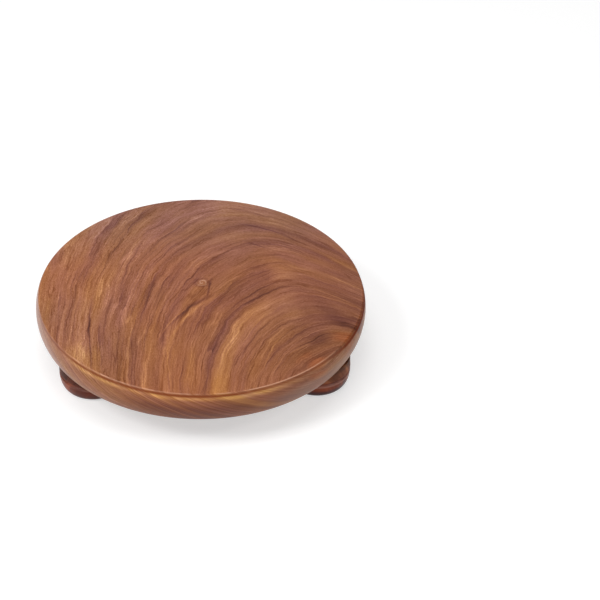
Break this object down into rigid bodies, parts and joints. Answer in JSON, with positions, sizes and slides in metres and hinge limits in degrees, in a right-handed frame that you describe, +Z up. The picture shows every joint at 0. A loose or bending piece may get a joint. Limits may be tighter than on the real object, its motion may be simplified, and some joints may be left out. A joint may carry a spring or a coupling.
{
  "type": "chakla rolling board",
  "caption": "Round hardwood rolling board with a flat face and bellied rim, on short turned feet, for rolling out flatbread dough by hand.",
  "frame": {"origin": "on the floor, under the middle of the board", "axes": "+Z up out of the rolling face, -Y to the front between the two front feet, +X to the right seen from the front"},
  "size_m": [0.24, 0.24, 0.0465],
  "materials": {
    "board_wood": "clear-lacquered rosewood with dark and golden growth rings, satin gloss",
    "foot_wood": "dark reddish brown rosewood, turned and polished to a gloss",
    "screw_steel": "bright zinc-plated steel"
  },
  "bodies": {
    "root": {"board": "board_wood", "foot_front_left": "foot_wood", "foot_front_right": "foot_wood", "foot_back": "foot_wood", "screw_front_left": "screw_steel", "screw_front_right": "screw_steel", "screw_back": "screw_steel"}
  },
  "joints": []
}
